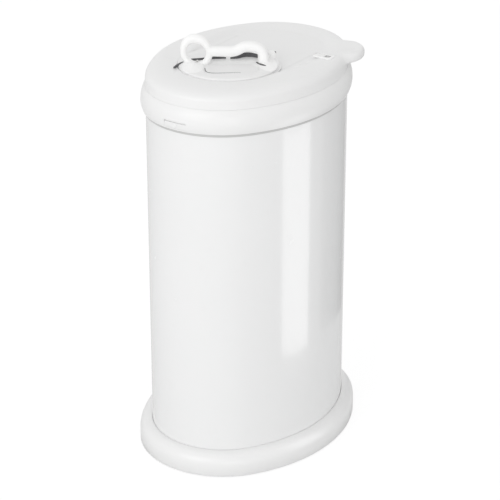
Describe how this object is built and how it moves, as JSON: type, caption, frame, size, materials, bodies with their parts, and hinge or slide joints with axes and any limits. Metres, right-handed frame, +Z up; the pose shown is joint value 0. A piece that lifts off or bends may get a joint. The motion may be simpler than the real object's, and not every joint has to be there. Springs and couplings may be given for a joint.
{
  "type": "nappy bin",
  "caption": "Tall oval steel nappy bin on a flared base, with a hinged lid, a round sliding hatch under a pin-shaped handle, a lift tab, a child lock and a push catch.",
  "frame": {"origin": "centre of the footprint on the floor", "axes": "+Z up; -Y towards the front, where the push catch is; +X to the right seen from the front"},
  "size_m": [0.275, 0.355, 0.5874],
  "materials": {
    "painted_steel": "white powder coat, satin",
    "base_plastic": "white moulded plastic, satin gloss",
    "lid_plastic": "white moulded plastic, satin gloss",
    "handle_plastic": "bright white moulded plastic, gloss",
    "inner_plastic": "off-white inner mouldings, matt",
    "rail_plastic": "natural nylon glide strip",
    "seal_rubber": "grey seal rubber",
    "foot_rubber": "dark grey non-slip rubber",
    "screw_steel": "zinc-plated fasteners",
    "spring_steel": "bright spring steel"
  },
  "bodies": {
    "bin": {"base_ring": "base_plastic", "base_pan": "inner_plastic", "rubber_feet": "foot_rubber", "base_screws": "screw_steel", "body_shell": "painted_steel", "collar": "lid_plastic", "collar_screws": "screw_steel", "hinge_bracket": "lid_plastic", "hinge_screws": "screw_steel", "hinge_pin": "screw_steel", "bag_ring": "inner_plastic"},
    "button": {"release_button": "lid_plastic", "button_clip": "spring_steel", "button_spring": "spring_steel"},
    "lid": {"lid_shell": "lid_plastic", "lid_liner": "inner_plastic", "lid_gasket": "seal_rubber", "lid_screws": "screw_steel", "latch_plate": "spring_steel", "latch_rivets": "screw_steel", "rail_left": "rail_plastic", "rail_right": "rail_plastic"},
    "lock": {"lock_slide": "lid_plastic", "lock_keeper": "inner_plastic"},
    "hatch": {"hatch_disc": "lid_plastic", "hatch_seal": "seal_rubber", "handle": "handle_plastic", "handle_screws": "screw_steel"}
  },
  "joints": [
    {"name": "lid_hinge", "type": "hinge", "parent": "bin", "child": "lid", "pos_m": [0, 0.171, 0.52], "axis": [-1, 0, 0], "range_deg": [0, 100]},
    {"name": "hatch_slide", "type": "slide", "parent": "lid", "child": "hatch", "axis": [0, 1, 0], "range_m": [0, 0.1]},
    {"name": "lock_travel", "type": "slide", "parent": "lid", "child": "lock", "axis": [1, 0, 0], "range_m": [0, 0.008]},
    {"name": "button_push", "type": "slide", "parent": "bin", "child": "button", "axis": [0, 1, 0], "range_m": [0, 0.003], "stiffness_N_per_m": 600, "springref_m": -0.002, "deforming": ["button_spring"]}
  ]
}
